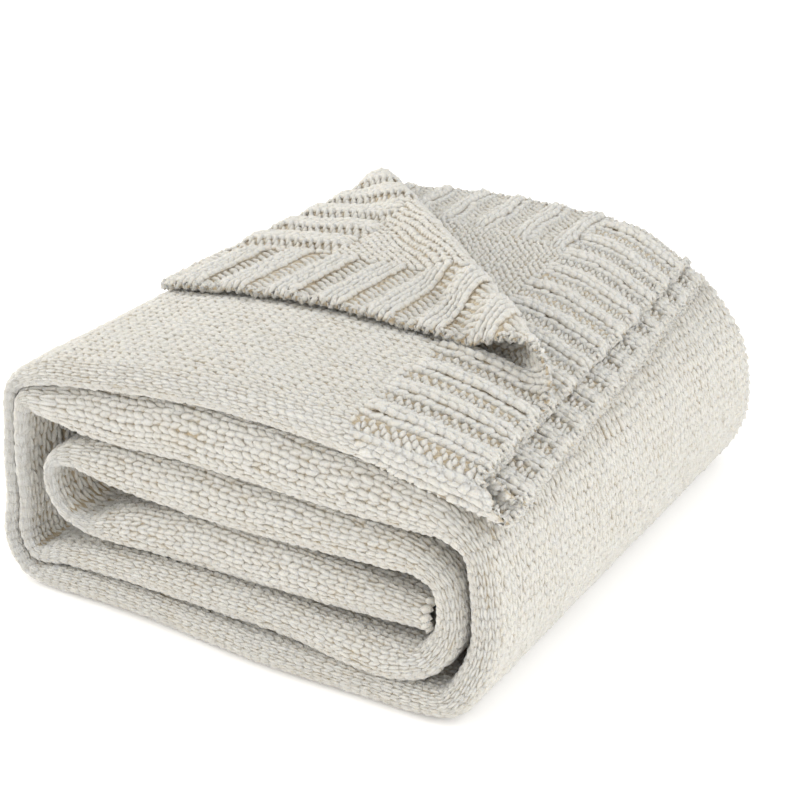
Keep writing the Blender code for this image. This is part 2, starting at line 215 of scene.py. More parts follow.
# A stitch's place lies this share of a course past the start of its course
COURSE_START = 0.1

# How far from the middle of the cloth its plain surface lies, bare and under yarn
BARE = CLOTH / 2
UNDER_YARN = 0.6 * MM

# The outermost stitches stand in from the cloth's edge by this much
RIM_GAP = 1.5 * MM

# The mesh of the plain cloth stays fine this far in from the outer fold, where the hollows show
HOLLOW = 62 * MM

# Seed of the scene's random draws
SEED = 7

# The photograph's viewpoint: sensor width and focal length in millimetres, place in metres, two angles
SENSOR = 36.0
LENS = 96.06
CAMERA_AT = (0.4732, -0.7979, 0.5346)
CAMERA_PITCH = math.radians(27.15)
CAMERA_YAW = math.radians(30.73)

Path = namedtuple("Path", "x z normal_x normal_z thick")


def smooth(low, high, value):
    """0 below low, 1 above high, and a soft step between."""
    part = np.clip((value - low) / (high - low), 0.0, 1.0)
    return part * part * (3.0 - 2.0 * part)


def curve(values, chord, at):
    """A smooth curve through values, which stand at the distances in chord, read at the distances at."""
    slope = np.gradient(values, chord)
    index = np.clip(np.searchsorted(chord, at, side="right") - 1, 0, len(chord) - 2)
    span = chord[index + 1] - chord[index]
    u = (at - chord[index]) / span
    ends = values[index] * (2 * u**3 - 3 * u**2 + 1) + values[index + 1] * (3 * u**2 - 2 * u**3)
    slopes = slope[index] * (u**3 - 2 * u**2 + u) + slope[index + 1] * (u**3 - u**2)
    return ends + slopes * span


def row_order():
    """The rows of TURN in the order in which the spiral passes them, each with its turn."""
    order = [(row, 0) for row in range(len(TURN))]
    order += [(row, 1) for row in range(FIRST_SHARED, len(TURN))]
    order += [(row, 2) for row in range(FIRST_SHARED, LAST_ROW + 1)]
    return order


def spiral(tight, puff):
    """The roll's outer side, its inward normals and its thickness, SAMPLES to a row, in order.

    tight is 1 at the front edge and 0 inside. puff is the share of their air that the layers keep.
    """
    outline = np.array([[row.x, row.z] for row in TURN], dtype=float)
    thick = np.array([[row.outer, row.middle, row.inner] for row in TURN]) * MM
    full = thick[TOP_ROW].sum() + thick[BOTTOM_ROW].sum()
    thick -= np.maximum(thick - PACKED, 0.0) * (1.0 - puff)
    sunk = (thick[TOP_ROW].sum() + thick[BOTTOM_ROW].sum()) / full
    for edge in FRONT:
        drawn = np.array([edge.outer, edge.middle]) * MM
        thick[edge.row, :2] += tight * (drawn - thick[edge.row, :2])
        outline[edge.row] += tight * (np.array([edge.x, edge.z]) - outline[edge.row])
    free = {(bend.row, bend.turn): bend for bend in FREE}

    order = row_order()
    period = len(TURN) - FIRST_SHARED
    points = [(x * MM, z * MM * sunk) for x, z in outline]
    depth = [thick[row, turn] for row, turn in order]
    for index, place in enumerate(order):
        if place in free:
            bend = free[place]
            side = bend.x + tight * (bend.front_x - bend.x)
            depth[index] = (bend.thick + tight * (bend.front_thick - bend.thick)) * MM
            fall = FREE_SINK * (1.0 - sunk) * max(bend.z * MM - 2 * PACKED, 0.0)
            points.append((side * MM, bend.z * MM - fall))
        elif index >= len(TURN):
            source = index - period
            run = np.subtract(points[source + 1], points[source - 1])
            step = (depth[source] + TURN_GAP) / np.hypot(*run)
            points.append((points[source][0] - run[1] * step, points[source][1] + run[0] * step))

    x, z = np.array(points).T
    chord = np.concatenate([[0.0], np.cumsum(np.hypot(np.diff(x), np.diff(z)))])
    at = np.interp(np.arange((len(order) - 1) * SAMPLES + 1) / SAMPLES, np.arange(len(order)), chord)
    fine_x = curve(x, chord, at)
    fine_z = np.maximum(curve(z, chord, at), 0.0)
    run_x, run_z = np.gradient(fine_x), np.gradient(fine_z)
    length = np.hypot(run_x, run_z)
    return Path(fine_x, fine_z, -run_z / length, run_x / length, curve(np.array(depth), chord, at))


AT_FRONT = spiral(1.0, 1.0)
INSIDE = spiral(0.0, 1.0)
AT_BACK = spiral(0.0, BACK_PUFF)


def lengths_along():
    """Distance along the cloth at each sample of the path, 0 at the hem on top."""
    x = INSIDE.x + INSIDE.normal_x * INSIDE.thick / 2
    z = INSIDE.z + INSIDE.normal_z * INSIDE.thick / 2
    run = np.concatenate([[0.0], np.cumsum(np.hypot(np.diff(x), np.diff(z)))])
    return run - run[HEM_ROW * SAMPLES]


ALONG = lengths_along()
LENGTH = ALONG[-1]


def along_at(row, turn):
    """Distance along the cloth at a row of the spiral."""
    return ALONG[row_order().index((row, turn)) * SAMPLES]


def path_at(s, y):
    """Position, inward normal and thickness of the roll at s, at depth y."""
    back = np.clip((y - INNER_FOLD_Y) / (BACK_Y - INNER_FOLD_Y), 0.0, 1.0)
    inner = smooth(*FRONT_ZONE, y)
    shares = ((1.0 - inner) * (1.0 - back), inner * (1.0 - back), back)
    found = []
    for name in Path._fields:
        parts = [np.interp(s, ALONG, getattr(path, name)) for path in (AT_FRONT, INSIDE, AT_BACK)]
        found.append(sum(share * part for share, part in zip(shares, parts)))
    x, z, normal_x, normal_z, thick = found
    size = np.hypot(normal_x, normal_z)
    return x, z, normal_x / size, normal_z / size, thick


def front_y(s):
    """Where the front of the outer fold lies: strips bulge unevenly, and the lowest stand out furthest."""
    wave = sum(part.height * MM * np.sin(math.tau * (part.turns * s + part.start)) for part in FRONT_WAVES)
    foot = np.clip(1.0 - np.interp(s, ALONG, AT_FRONT.z) / FOOT_HEIGHT, 0.0, 1.0)
    return wave - FRONT_FOOT * foot


def back_y(s):
    """Where the back of the layers lies: the plain end of the roll is drawn in a little."""
    right = smooth(*RIGHT_ZONE, np.interp(s, ALONG, INSIDE.x))
    return BACK_Y + right * (RIGHT_BACK_Y - BACK_Y)


def relief(s, t):
    """How far the ribs of the borders stand out of the cloth towards its knit side."""
    def rib(distance):
        phase = np.mod(distance + RIB_PITCH / 4, RIB_PITCH) - RIB_PITCH / 4
        inside = RIB_WIDTH / 2 - np.abs(phase - RIB_WIDTH / 2) + RIB_SHOULDER
        peak = smooth(0.0, RIB_WIDTH * RIB_FLANK, inside)
        return peak * (RIB_RISE + RIB_FALL) - RIB_FALL

    def band(distance):
        return smooth(0.0, EDGE, BORDER - distance) * smooth(0.0, EDGE, distance)

    side = np.minimum(t, WIDTH - t)
    on_top = smooth(0.0, EDGE, FLAP_SIDE - s)
    hidden = smooth(0.0, EDGE, t - OUTER_END) * smooth(0.0, EDGE, INNER_START - t)
    hem = rib(t) * band(s) * (1.0 - HIDDEN_LESS * hidden)
    selvage = rib(s - BORDER) * band(side) * on_top
    return np.where(s <= BORDER, hem, selvage)


def flap_beyond(s, t):
    """How far a flat place lies beyond the line on which the corner is turned over."""
    return (FLAP_ON_HEM * FLAP_ON_SELVAGE - s * FLAP_ON_HEM - t * FLAP_ON_SELVAGE) / FLAP_LINE


def turn_over(s, t):
    """Turn the corner of the uppermost layer over.

    Gives the flat place that each point comes to lie over, its lift, and 1 for cloth that lies right
    side out, down to -1 for cloth that is turned over.
    """
    past = np.where(t < LAYER, np.maximum(flap_beyond(s, t), 0.0), 0.0)
    share = np.clip(t / FLAP_ON_HEM, 0.0, 1.0)
    radius = ROLL_AT_SELVAGE + (ROLL_AT_HEM - ROLL_AT_SELVAGE) * share
    angle = np.minimum(past / radius, math.pi)
    beyond = np.maximum(past - math.pi * radius, 0.0)
    lift = radius * (1.0 - np.cos(angle)) + smooth(0.0, FLAP_SETTLE, beyond) * (FLAP_LIFT - 2.0 * radius)
    back = past + beyond - radius * np.sin(angle)
    over_s = s + back * FLAP_ON_HEM / FLAP_LINE
    over_t = t + back * FLAP_ON_SELVAGE / FLAP_LINE
    return over_s, over_t, lift, np.cos(angle)


def quarter_fold(s, t):
    """Depth y of a point, its place from 0 on the outer layer to 1 on the inner one, and whether it is
    on one of the two lower layers.
    """
    front_half = (np.interp(s, ALONG, AT_FRONT.thick) - CLOTH) / 2
    bulge = np.minimum(FRONT_BULGE, front_half)
    front = front_y(s) + bulge
    drawn = 1.0 - smooth(*TIGHT_HALF, front_half)
    shift = np.hypot(INSIDE.x - AT_FRONT.x, INSIDE.z - AT_FRONT.z)
    drawn = np.maximum(drawn, smooth(*TIGHT_SHIFT, np.interp(s, ALONG, shift)))
    inner_bulge = (np.interp(s, ALONG, INSIDE.thick) - CLOTH) / 6
    inner_front = INNER_FOLD_Y + inner_bulge + drawn * INNER_FOLD_TIGHT
    back_bulge = (np.interp(s, ALONG, AT_BACK.thick) - CLOTH) / 6
    back = back_y(s)
    upper_back = back - SELVAGE_STEP
    fold_back = back - back_bulge

    ends = np.cumsum([LAYER, OUTER_FOLD, LAYER, BACK_FOLD, LAYER, INNER_FOLD, LAYER])
    starts = np.concatenate([[0.0], ends[:-1]])
    share = [np.clip((t - start) / (end - start), 0.0, 1.0) for start, end in zip(starts, ends)]
    turn = [math.pi * part for part in share]
    choices = [t <= end for end in ends[:-1]]
    y = np.select(
        choices,
        [
            upper_back + (front - upper_back) * share[0],
            front - bulge * np.sin(turn[1]),
            front + (fold_back - front) * share[2],
            fold_back + back_bulge * np.sin(turn[3]),
            fold_back + (inner_front - fold_back) * share[4],
            inner_front - inner_bulge * np.sin(turn[5]),
        ],
        inner_front + (back - inner_front) * share[6],
    )
    place = np.select(
        choices,
        [
            0.0 * t,
            (1.0 - np.cos(turn[1])) / 2,
            1.0 + 0.0 * t,
            1.0 - (1.0 - np.cos(turn[3])) / 6,
            2.0 / 3.0 + 0.0 * t,
            2.0 / 3.0 - (1.0 - np.cos(turn[5])) / 6,
        ],
        1.0 / 3.0 + 0.0 * t,
    )
    lower = smooth(ends[0], ends[1], t) * (1.0 - smooth(ends[4], ends[5], t))
    return y, place, lower


def round_corner(s, t):
    """Draw in the corner that lies on top, so that it is round."""
    across, along = CORNER_RADIUS - s, CORNER_RADIUS - t
    far = np.hypot(across, along)
    share = np.where((across > 0) & (along > 0), np.maximum(across, along) / np.maximum(far, 1e-9), 1.0)
    return CORNER_RADIUS - across * share, CORNER_RADIUS - along * share


def fold(s, t):
    """World position of the middle of the cloth at flat coordinates s and t, as arrays."""
    rise = relief(s, t)
    s, t = round_corner(s, t)
    over_s, over_t, lift, facing = turn_over(s, t)
    y, place, lower = quarter_fold(over_s, over_t)
    fade = np.clip(1.0 - over_s / HEM_FADE, 0.0, None)
    step = LOWER_HEM_STEP + (LOWER_HEM_FRONT - LOWER_HEM_STEP) * np.clip(1.0 - y / BACK_Y, 0.0, 1.0)
    place_s = over_s + fade * (HEM_SLANT * y - lower * step)
    x, z, normal_x, normal_z, thick = path_at(place_s, y)
    inward = CLOTH / 2 + place * (thick - CLOTH) - lift - rise * facing
    return np.stack([x + normal_x * inward, y, z + normal_z * inward], axis=-1) - MIDDLE


def unit(vectors):
    """Vectors of length 1 along the given ones."""
    return vectors / np.maximum(np.linalg.norm(vectors, axis=-1, keepdims=True), 1e-12)


def laid(s, t, height):
    """World position and surface normal of points at a height off the middle of the cloth.

    A point may lie a little beyond the cloth's edges, where it carries on straight.
    """
    step = 0.5 * MM
    inside_s = np.clip(s, step, LENGTH - step)
    inside_t = np.clip(t, step, WIDTH - step)
    along = fold(inside_s + step, inside_t) - fold(inside_s - step, inside_t)
    across = fold(inside_s, inside_t + step) - fold(inside_s, inside_t - step)
    normal = unit(np.cross(along, across))
    beyond_s = (s - inside_s)[..., None]
    beyond_t = (t - inside_t)[..., None]
    place = fold(inside_s, inside_t) + unit(along) * beyond_s + unit(across) * beyond_t
    return place + normal * height[..., None], normal


# A strand of yarn is a spindle along a few points. u: along the wale, in courses. v: across it, in wales.
# h: height off the middle of the cloth, and r: radius, both in millimetres.
Knot = namedtuple("Knot", "u v h r")
KNIT_LEG = (
    Knot(-0.66, 0.06, -0.30, 0.0),
    Knot(-0.20, 0.13, 0.38, 1.25),
    Knot(0.26, 0.22, 0.66, 1.52),
    Knot(0.74, 0.32, 0.50, 1.36),
    Knot(1.20, 0.41, -0.35, 0.0),
)
RIB_LEG = (
    Knot(-0.78, 0.13, -0.25, 0.0),
    Knot(-0.24, 0.19, 0.48, 1.45),
    Knot(0.28, 0.26, 0.75, 1.70),
    Knot(0.80, 0.32, 0.58, 1.50),
    Knot(1.35, 0.37, -0.30, 0.0),
)
PURL_HEAD = (
    Knot(0.0, -0.54, -0.20, 0.0),
    Knot(0.12, -0.26, 0.55, 1.45),
    Knot(0.20, 0.0, 0.85, 1.72),
    Knot(0.12, 0.26, 0.55, 1.45),
    Knot(0.0, 0.54, -0.20, 0.0),
)
PURL_SINKER = (
    Knot(0.88, -0.04, -0.20, 0.0),
    Knot(0.76, 0.24, 0.50, 1.45),
    Knot(0.68, 0.50, 0.80, 1.68),
    Knot(0.76, 0.76, 0.50, 1.45),
    Knot(0.88, 1.04, -0.20, 0.0),
)

# A bead of yarn wraps the edge of the cloth. out: beyond the edge. along: along the edge, in beads.
Wrap = namedtuple("Wrap", "out along h r")
EDGE_WRAP = (
    Wrap(-4.6, -0.30, 0.30, 0.0),
    Wrap(-1.3, -0.20, 1.10, 2.05),
    Wrap(0.4, 0.0, 0.0, 2.15),
    Wrap(-1.3, 0.20, -1.10, 2.05),
    Wrap(-4.6, 0.30, -0.30, 0.0),
)

# Beads take this height in the yarn's tones. Those on the selvages are smaller by a share, and the place
# of every bead along the edge and out from it varies a little.
EDGE_TONE = 0.8
SELVAGE_BEAD = 0.75
BEAD_PLACE_SPREAD = 0.25 * MM
BEAD_OUT_SPREAD = 0.3 * MM

# A strand has three rings of four points and two ends. Its tone carries painted shade by height: it is
# that of the tallest where it stands this far from the middle of the cloth, and darker lower down.
RING = 4
RINGS = 3
STRAND_POINTS = RING * RINGS + 2
STRAND_TOP = 2.1 * MM

# How unevenly the yarn lies: the spread of a strand's place and bend in stitches, of its radius as a
# share, of its height and of the points of its surface
PLACE_SPREAD = 0.035
BEND_SPREAD = 0.03
RADIUS_SPREAD = 0.09
HEIGHT_SPREAD = 0.13 * MM
SURFACE_SPREAD = 0.08 * MM

# On flat cloth the legs of knit stitches are this much wider than they are high
LEG_SPREAD = 1.08

# Slow drift of the rows of stitches: how far, and over what length of cloth
DRIFT = 0.7 * MM
DRIFT_LENGTHS = (47 * MM, 83 * MM)

# In the borders, strands on the knit side of a wale stand out this far, and those on its purl side sink
RIB_CROWN = 0.12 * MM

# The least and the most that a fold widens a strand
STRETCH_LIMITS = (0.7, 1.5)

# Where the cloth is open to view: rays leave a lattice of places, so many at each angle in degrees above
# the surface, and a place is open when enough of them meet nothing
LATTICE_S = 8 * MM
LATTICE_T = 6 * MM
RAY_START = 1.5 * MM
RAY_REACH = 0.7
RAYS = ((90.0, 1), (55.0, 4), (28.0, 6), (9.0, 8))
RAYS_NEEDED = 2

# Each ring of rays is turned by this share of its spacing, times its number in RAYS from 0
RAY_TWIST = 0.37

# A normal that is further from level than this takes X for its sideways direction, and others take Z
UPRIGHT = 0.8

# Yarn is laid where the lattice reads more than this
OPEN_ENOUGH = 0.4

# Mesh steps of the plain cloth along it, and its cells across each fold and layer, from t = 0
FINE_ROW = 4 * MM
COARSE_ROW = 7 * MM
CELLS_ACROSS = (52, 12, 13, 8, 6, 12, 4, 32)

# sRGB colours of the yarn, from the tops of its strands down into its holes. The two darker ones are
# painted shade, darker down between the strands and deepest in the holes.
CREAM_LIGHT = (212, 211, 206)
CREAM = (204, 201, 194)
PAINTED_CREAM_SHADE = (186, 174, 152)
PAINTED_HOLE_SHADE = (146, 128, 100)

# The floor: half its width in metres, its white and how much it glows
FLOOR_HALF = 6.0
FLOOR_WHITE = (0.93, 0.93, 0.93, 1.0)
FLOOR_GLOW = 0.12

# The light: an even surround, and square lights with their place, size in metres, power in watts and colour
SURROUND = (1.0, 0.99, 0.97, 1.0)
SURROUND_STRENGTH = 0.99
LIGHT_TARGET = (0.0, 0.0, 0.06)
Light = namedtuple("Light", "name place size power color")
LIGHTS = (
    Light("key", (1.6, 0.1, 1.4), 1.6, 16.0, (0.96, 0.98, 1.0)),
    Light("front", (1.1, -1.6, 0.35), 1.4, 13.0, (1.0, 0.92, 0.82)),
    Light("left", (-2.0, -0.3, 0.5), 1.4, 34.0, (1.0, 0.96, 0.90)),
)


def even_lines(start, end, step):
    """Evenly spaced lines from start to end, about a step apart."""
    return np.linspace(start, end, max(int(round((end - start) / step)), 1) + 1)


def cloth_lines():
    """Mesh lines of the plain cloth, along it and across it."""
    rows = np.concatenate([even_lines(0.0, HEM_FADE, FINE_ROW), even_lines(HEM_FADE, LENGTH, COARSE_ROW)[1:]])
    hollow = OUTER_END + HOLLOW
    ends = (0.0, OUTER_START, OUTER_END, hollow, BACK_START, BACK_END, INNER_START, INNER_END, WIDTH)
    spans = zip(ends, ends[1:], CELLS_ACROSS)
    columns = [np.linspace(start, end, count + 1)[:-1] for start, end, count in spans]
    return rows, np.concatenate(columns + [[WIDTH]])


def grid_faces(rows, columns):
    """Quads of a grid of points, as indices row by row."""
    index = np.arange(rows * columns).reshape(rows, columns)
    corners = (index[:-1, :-1], index[1:, :-1], index[1:, 1:], index[:-1, 1:])
    return np.stack([corner.ravel() for corner in corners], axis=1)


def rim(rows, columns):
    """The points around a grid, in order."""
    index = np.arange(rows * columns).reshape(rows, columns)
    return np.concatenate([index[:-1, 0], index[-1, :-1], index[:0:-1, -1], index[0, :0:-1]])


def make_piece(name, points, faces, material, attributes=()):
    """A smooth mesh object from arrays of points and of faces with one number of corners.

    Points that would dip into the floor lie on it.
    """
    points = np.column_stack([points[:, :2], np.maximum(points[:, 2], 0.0)])
    mesh = bpy.data.meshes.new(name)
    mesh.vertices.add(len(points))
    mesh.vertices.foreach_set("co", np.ascontiguousarray(points, dtype=np.float32).ravel())
    corners = faces.shape[1]
    mesh.loops.add(faces.size)
    mesh.loops.foreach_set("vertex_index", faces.astype(np.int32).ravel())
    mesh.polygons.add(len(faces))
    mesh.polygons.foreach_set("loop_start", np.arange(0, faces.size, corners, dtype=np.int32))
    mesh.update(calc_edges=True)
    mesh.shade_smooth()
    for title, values in attributes:
        layer = mesh.attributes.new(title, "FLOAT", "POINT")
        layer.data.foreach_set("value", np.ascontiguousarray(values, dtype=np.float32).ravel())
    mesh.materials.append(material)
    piece = bpy.data.objects.new(name, mesh)
    bpy.context.scene.collection.objects.link(piece)
    return piece


def ray_directions(normal):
    """Directions around a surface normal, the steepest first."""
    helper = np.where(np.abs(normal[..., 2:]) < UPRIGHT, [0.0, 0.0, 1.0], [1.0, 0.0, 0.0])
    side = unit(np.cross(normal, helper))
    other = np.cross(normal, side)
    found = []
    for ring, (angle, count) in enumerate(RAYS):
        rise, flat = math.sin(math.radians(angle)), math.cos(math.radians(angle))
        for step in range(count):
            turn = math.tau * (step + RAY_TWIST * ring) / count
            found.append(rise * normal + flat * (math.cos(turn) * side + math.sin(turn) * other))
    return np.stack(found, axis=-2)


def open_lattice(tree, side):
    """1 at the lattice places of one side that are open to view, 0 where the cloth or the floor hides
    them, grown by one place each way.
    """
    lines_s = np.arange(LATTICE_S / 2, LENGTH, LATTICE_S)
    lines_t = np.arange(LATTICE_T / 2, WIDTH, LATTICE_T)
    s, t = np.meshgrid(lines_s, lines_t, indexing="ij")
    place, normal = laid(s, t, np.full(s.shape, side * RAY_START))
    ways = ray_directions(normal * side).reshape(-1, sum(count for _, count in RAYS), 3)
    free = np.zeros(s.size)
    for index, (start, rays) in enumerate(zip(place.reshape(-1, 3), ways)):
        origin = Vector(start)
        found = 0
        for ray in rays:
            if ray[2] > 0.0 and tree.ray_cast(origin, Vector(ray), RAY_REACH)[0] is None:
                found += 1
                if found == RAYS_NEEDED:
                    free[index] = 1.0
                    break
    padded = np.pad(free.reshape(s.shape), 1, mode="edge")
    rows, columns = s.shape
    near = [padded[i:i + rows, j:j + columns] for i in range(3) for j in range(3)]
    return np.max(near, axis=0)


def read_lattice(lattice, s, t):
    """The lattice's value at flat places, blended between its points."""
    row = np.clip(s / LATTICE_S - 0.5, 0.0, lattice.shape[0] - 1.001)
    column = np.clip(t / LATTICE_T - 0.5, 0.0, lattice.shape[1] - 1.001)
    i, j = row.astype(int), column.astype(int)
    u, v = row - i, column - j
    low = lattice[i, j] * (1 - v) + lattice[i, j + 1] * v
    high = lattice[i + 1, j] * (1 - v) + lattice[i + 1, j + 1] * v
    return low * (1 - u) + high * u


# Stitches as arrays. s, t: their place. down: 1 where the wale runs along s, 0 where it runs along t.
# knit: 1 where the knit side faces outwards. course, wale: their size. crown: how far they stand out.
Stitches = namedtuple("Stitches", "s t down knit course wale crown")


def wale_row(across, start, end, wale, down, knit, crown=0.0):
    """The stitches of one wale, from start to end."""
    count = max(int(round((end - start) / COURSE)), 1)
    course = (end - start) / count
    along = start + (np.arange(count) + COURSE_START) * course
    across = np.full(count, across)
    s, t = (along, across) if down else (across, along)
    values = (float(down), float(knit), course, wale, crown)
    return Stitches(s, t, *(np.full(count, value) for value in values))


def rib_wales(start, end):
    """Wales of a ribbed band: two raised ones, then two sunken ones. Place, width and 1 where raised."""
    found = []
    for rib in range(int((end - start) / RIB_PITCH) + 1):
        base = start + rib * RIB_PITCH
        found += [(base + (part + 0.5) * RAISED_WALE, RAISED_WALE, True) for part in range(2)]
        found += [(base + RIB_WIDTH + (part + 0.5) * SUNKEN_WALE, SUNKEN_WALE, False) for part in range(2)]
    return [wale for wale in found if wale[0] + wale[1] / 2 <= end]


def all_stitches():
    """Every stitch of the cloth: the plain middle, the ribbed hem and the ribbed selvages beside it."""
    wales = []
    stretches = (
        (RIM_GAP, BORDER, WALE, FLAP_SIDE),
        (BORDER, OUTER_START, WALE, BORDER),
        (OUTER_START, OUTER_END, NOSE_WALE, BORDER),
        (OUTER_END, WIDTH - BORDER, WALE, BORDER),
        (WIDTH - BORDER, WIDTH - RIM_GAP, WALE, FLAP_SIDE),
    )
    for low_t, high_t, wale, start in stretches:
        lines = even_lines(low_t, high_t, wale)
        for low, high in zip(lines, lines[1:]):
            wales.append(wale_row((low + high) / 2, start, LENGTH - RIM_GAP, high - low, True, True))
    for across, wale, raised in rib_wales(0.0, WIDTH):
        crown = RIB_CROWN if raised else -RIB_CROWN
        knit = raised != (OUTER_END < across < BACK_START or across > INNER_END)
        wales.append(wale_row(across, RIM_GAP, BORDER, wale, True, knit, crown))
    for across, wale, raised in rib_wales(BORDER, FLAP_SIDE):
        crown = RIB_CROWN if raised else -RIB_CROWN
        wales.append(wale_row(across, RIM_GAP, BORDER, wale, False, raised, crown))
        wales.append(wale_row(across, WIDTH - BORDER, WIDTH - RIM_GAP, wale, False, not raised, crown))
    found = Stitches(*(np.concatenate(values) for values in zip(*wales)))
    short, long = DRIFT_LENGTHS
    drift_s = DRIFT * np.sin(math.tau * (found.t / short + found.s / long))
    drift_t = DRIFT * np.sin(math.tau * (found.s / short - found.t / long))
    return found._replace(s=found.s + drift_s, t=found.t + drift_t * (found.crown == 0.0))


def ring_angles():
    """Angles of a strand's ring of points, the first one on top."""
    return math.pi / 2 + math.tau * np.arange(RING) / RING


def spindles(places, normals, radii, spread=1.0):
    """Points of closed strands: an apex, three rings and an apex, around each run of five places.

    spread widens a strand to the sides.
    """
    tangent = unit(np.gradient(places, axis=1))
    side = unit(np.cross(tangent, normals)) * spread
    up = np.cross(unit(side), tangent)
    angle = ring_angles()
    around = side[:, 1:-1, None] * np.cos(angle)[:, None] + up[:, 1:-1, None] * np.sin(angle)[:, None]
    rings = places[:, 1:-1, None] + around * radii[:, 1:-1, None, None]
    rings = rings.reshape(len(places), RINGS * RING, 3)
    return np.concatenate([places[:, :1], rings, places[:, -1:]], axis=1)


def strand_faces(count):
    """Triangles of a number of strands."""
    faces = []
    for step in range(RING):
        after = (step + 1) % RING
        faces.append((0, 1 + after, 1 + step))
        for ring in range(RINGS - 1):
            low, high = 1 + ring * RING, 1 + (ring + 1) * RING
            faces.append((low + step, low + after, high + after))
            faces.append((low + step, high + after, high + step))
        last = 1 + (RINGS - 1) * RING
        faces.append((last + step, last + after, STRAND_POINTS - 1))
    starts = np.arange(count)[:, None, None] * STRAND_POINTS
    return (np.array(faces)[None] + starts).reshape(-1, 3)


# These heights set the yarn's painted shade: the lower a point, the darker its tone.
def strand_heights(heights, radii):
    """How high each point of a strand stands, from 0 in the cloth to 1 at the top of the tallest."""
    rings = heights[:, 1:-1, None] + radii[:, 1:-1, None] * np.sin(ring_angles())
    rings = rings.reshape(len(heights), RINGS * RING)
    return np.clip(np.concatenate([heights[:, :1], rings, heights[:, -1:]], axis=1) / STRAND_TOP, 0.0, 1.0)


def stitch_strands(stitches, knots, mirror, side, draw):
    """One strand of each stitch: its points, the height of each and a shade of its own."""
    count = len(stitches.s)
    bends = draw.normal(0.0, BEND_SPREAD, (2, count, len(knots)))
    u = np.array([knot.u for knot in knots]) + draw.normal(0.0, PLACE_SPREAD, (count, 1)) + bends[0]
    v = np.array([knot.v for knot in knots]) * mirror + draw.normal(0.0, PLACE_SPREAD, (count, 1)) + bends[1]
    lift = np.array([knot.h for knot in knots]) * MM + draw.normal(0.0, HEIGHT_SPREAD, (count, 1))
    lift = lift + (1.0 if knots is RIB_LEG else -1.0) * np.abs(stitches.crown)[:, None]
    size = (stitches.wale / WALE)[:, None] ** 0.5
    uneven = 1 + draw.normal(0.0, RADIUS_SPREAD, (count, 1))
    radii = np.array([knot.r for knot in knots]) * MM * size * uneven
    along = u * stitches.course[:, None]
    across = v * stitches.wale[:, None]
    down = stitches.down[:, None] > 0.5
    s = stitches.s[:, None] + np.where(down, along, across)
    t = stitches.t[:, None] + np.where(down, across, along)
    places, normals = laid(s, t, side * lift)
    shade = np.repeat(draw.uniform(0.0, 1.0, count), STRAND_POINTS)
    widen = LEG_SPREAD if knots in (KNIT_LEG, RIB_LEG) else 1.0
    spread = stretch(stitches, side)[:, None, None] * widen
    points = spindles(places, normals * side, radii, spread)
    points += draw.normal(0.0, SURFACE_SPREAD, points.shape)
    return points, strand_heights(lift, radii), shade


def stretch(stitches, side):
    """How much wider than flat each stitch lies, as on the outside of a fold."""
    half = WALE / 3
    down = stitches.down > 0.5
    step_s, step_t = np.where(down, 0.0, half), np.where(down, half, 0.0)
    height = np.full(len(stitches.s), side * MM)
    first, _ = laid(stitches.s - step_s, stitches.t - step_t, height)
    last, _ = laid(stitches.s + step_s, stitches.t + step_t, height)
    return np.clip(np.linalg.norm(last - first, axis=1) / (2 * half), *STRETCH_LIMITS)


def pick(stitches, chosen):
    """Some of the stitches."""
    return Stitches(*(values[chosen] for values in stitches))


def yarn_piece(name, stitches, side, material, draw):
    """The yarn of some stitches on one side of the cloth, as one mesh."""
    knit = (stitches.knit > 0.5) == (side > 0)
    rib = stitches.crown != 0.0
    kinds = (
        (knit & ~rib, ((KNIT_LEG, 1), (KNIT_LEG, -1))),
        (knit & rib, ((RIB_LEG, 1), (RIB_LEG, -1))),
        (~knit, ((PURL_HEAD, 1), (PURL_SINKER, 1))),
    )
    parts = []
    for kind, shapes in kinds:
        chosen = pick(stitches, kind)
        if len(chosen.s):
            parts += [stitch_strands(chosen, knots, mirror, side, draw) for knots, mirror in shapes]
    points = np.concatenate([part[0] for part in parts])
    heights = np.concatenate([part[1] for part in parts])
    shades = np.concatenate([part[2] for part in parts])
    attributes = (("height", heights), ("shade", shades))
    return make_piece(name, points.reshape(-1, 3), strand_faces(len(points)), material, attributes)


def edge_piece(name, material, draw):
    """Beads of yarn that wrap all four edges of the cloth."""
    parts = []
    for limit, length, down in ((0.0, WIDTH, 0), (LENGTH, WIDTH, 0), (0.0, LENGTH, 1), (WIDTH, LENGTH, 1)):
        out = -1.0 if limit == 0.0 else 1.0
        beads = even_lines(0.0, length, BEAD)
        count = len(beads)
        along = beads[:, None] + np.array([wrap.along for wrap in EDGE_WRAP]) * BEAD
        along = along + draw.normal(0.0, BEAD_PLACE_SPREAD, (count, 1))
        beyond = np.array([wrap.out for wrap in EDGE_WRAP]) * MM
        beyond = beyond + draw.normal(0.0, BEAD_OUT_SPREAD, (count, 1))
        height = np.array([wrap.h for wrap in EDGE_WRAP]) * MM + np.zeros((count, 1))
        uneven = 1 + draw.normal(0.0, RADIUS_SPREAD, (count, 1))
        radii = np.array([wrap.r for wrap in EDGE_WRAP]) * MM * uneven
        radii = radii * (SELVAGE_BEAD if down else 1.0)
        over = limit + out * beyond
        s, t = (along, over) if down else (over, along)
        places, _ = laid(s, t, height)
        edge_run = np.gradient(places[:, 2], axis=0)[:, None] + np.zeros(places.shape)
        normals = np.cross(unit(np.gradient(places, axis=1)), edge_run)
        parts.append(spindles(places, normals, radii))
    points = np.concatenate(parts)
    heights = np.full(len(points) * STRAND_POINTS, EDGE_TONE)
    shades = np.repeat(draw.uniform(0.0, 1.0, len(points)), STRAND_POINTS)
    attributes = (("height", heights), ("shade", shades))
    return make_piece(name, points.reshape(-1, 3), strand_faces(len(points)), material, attributes)


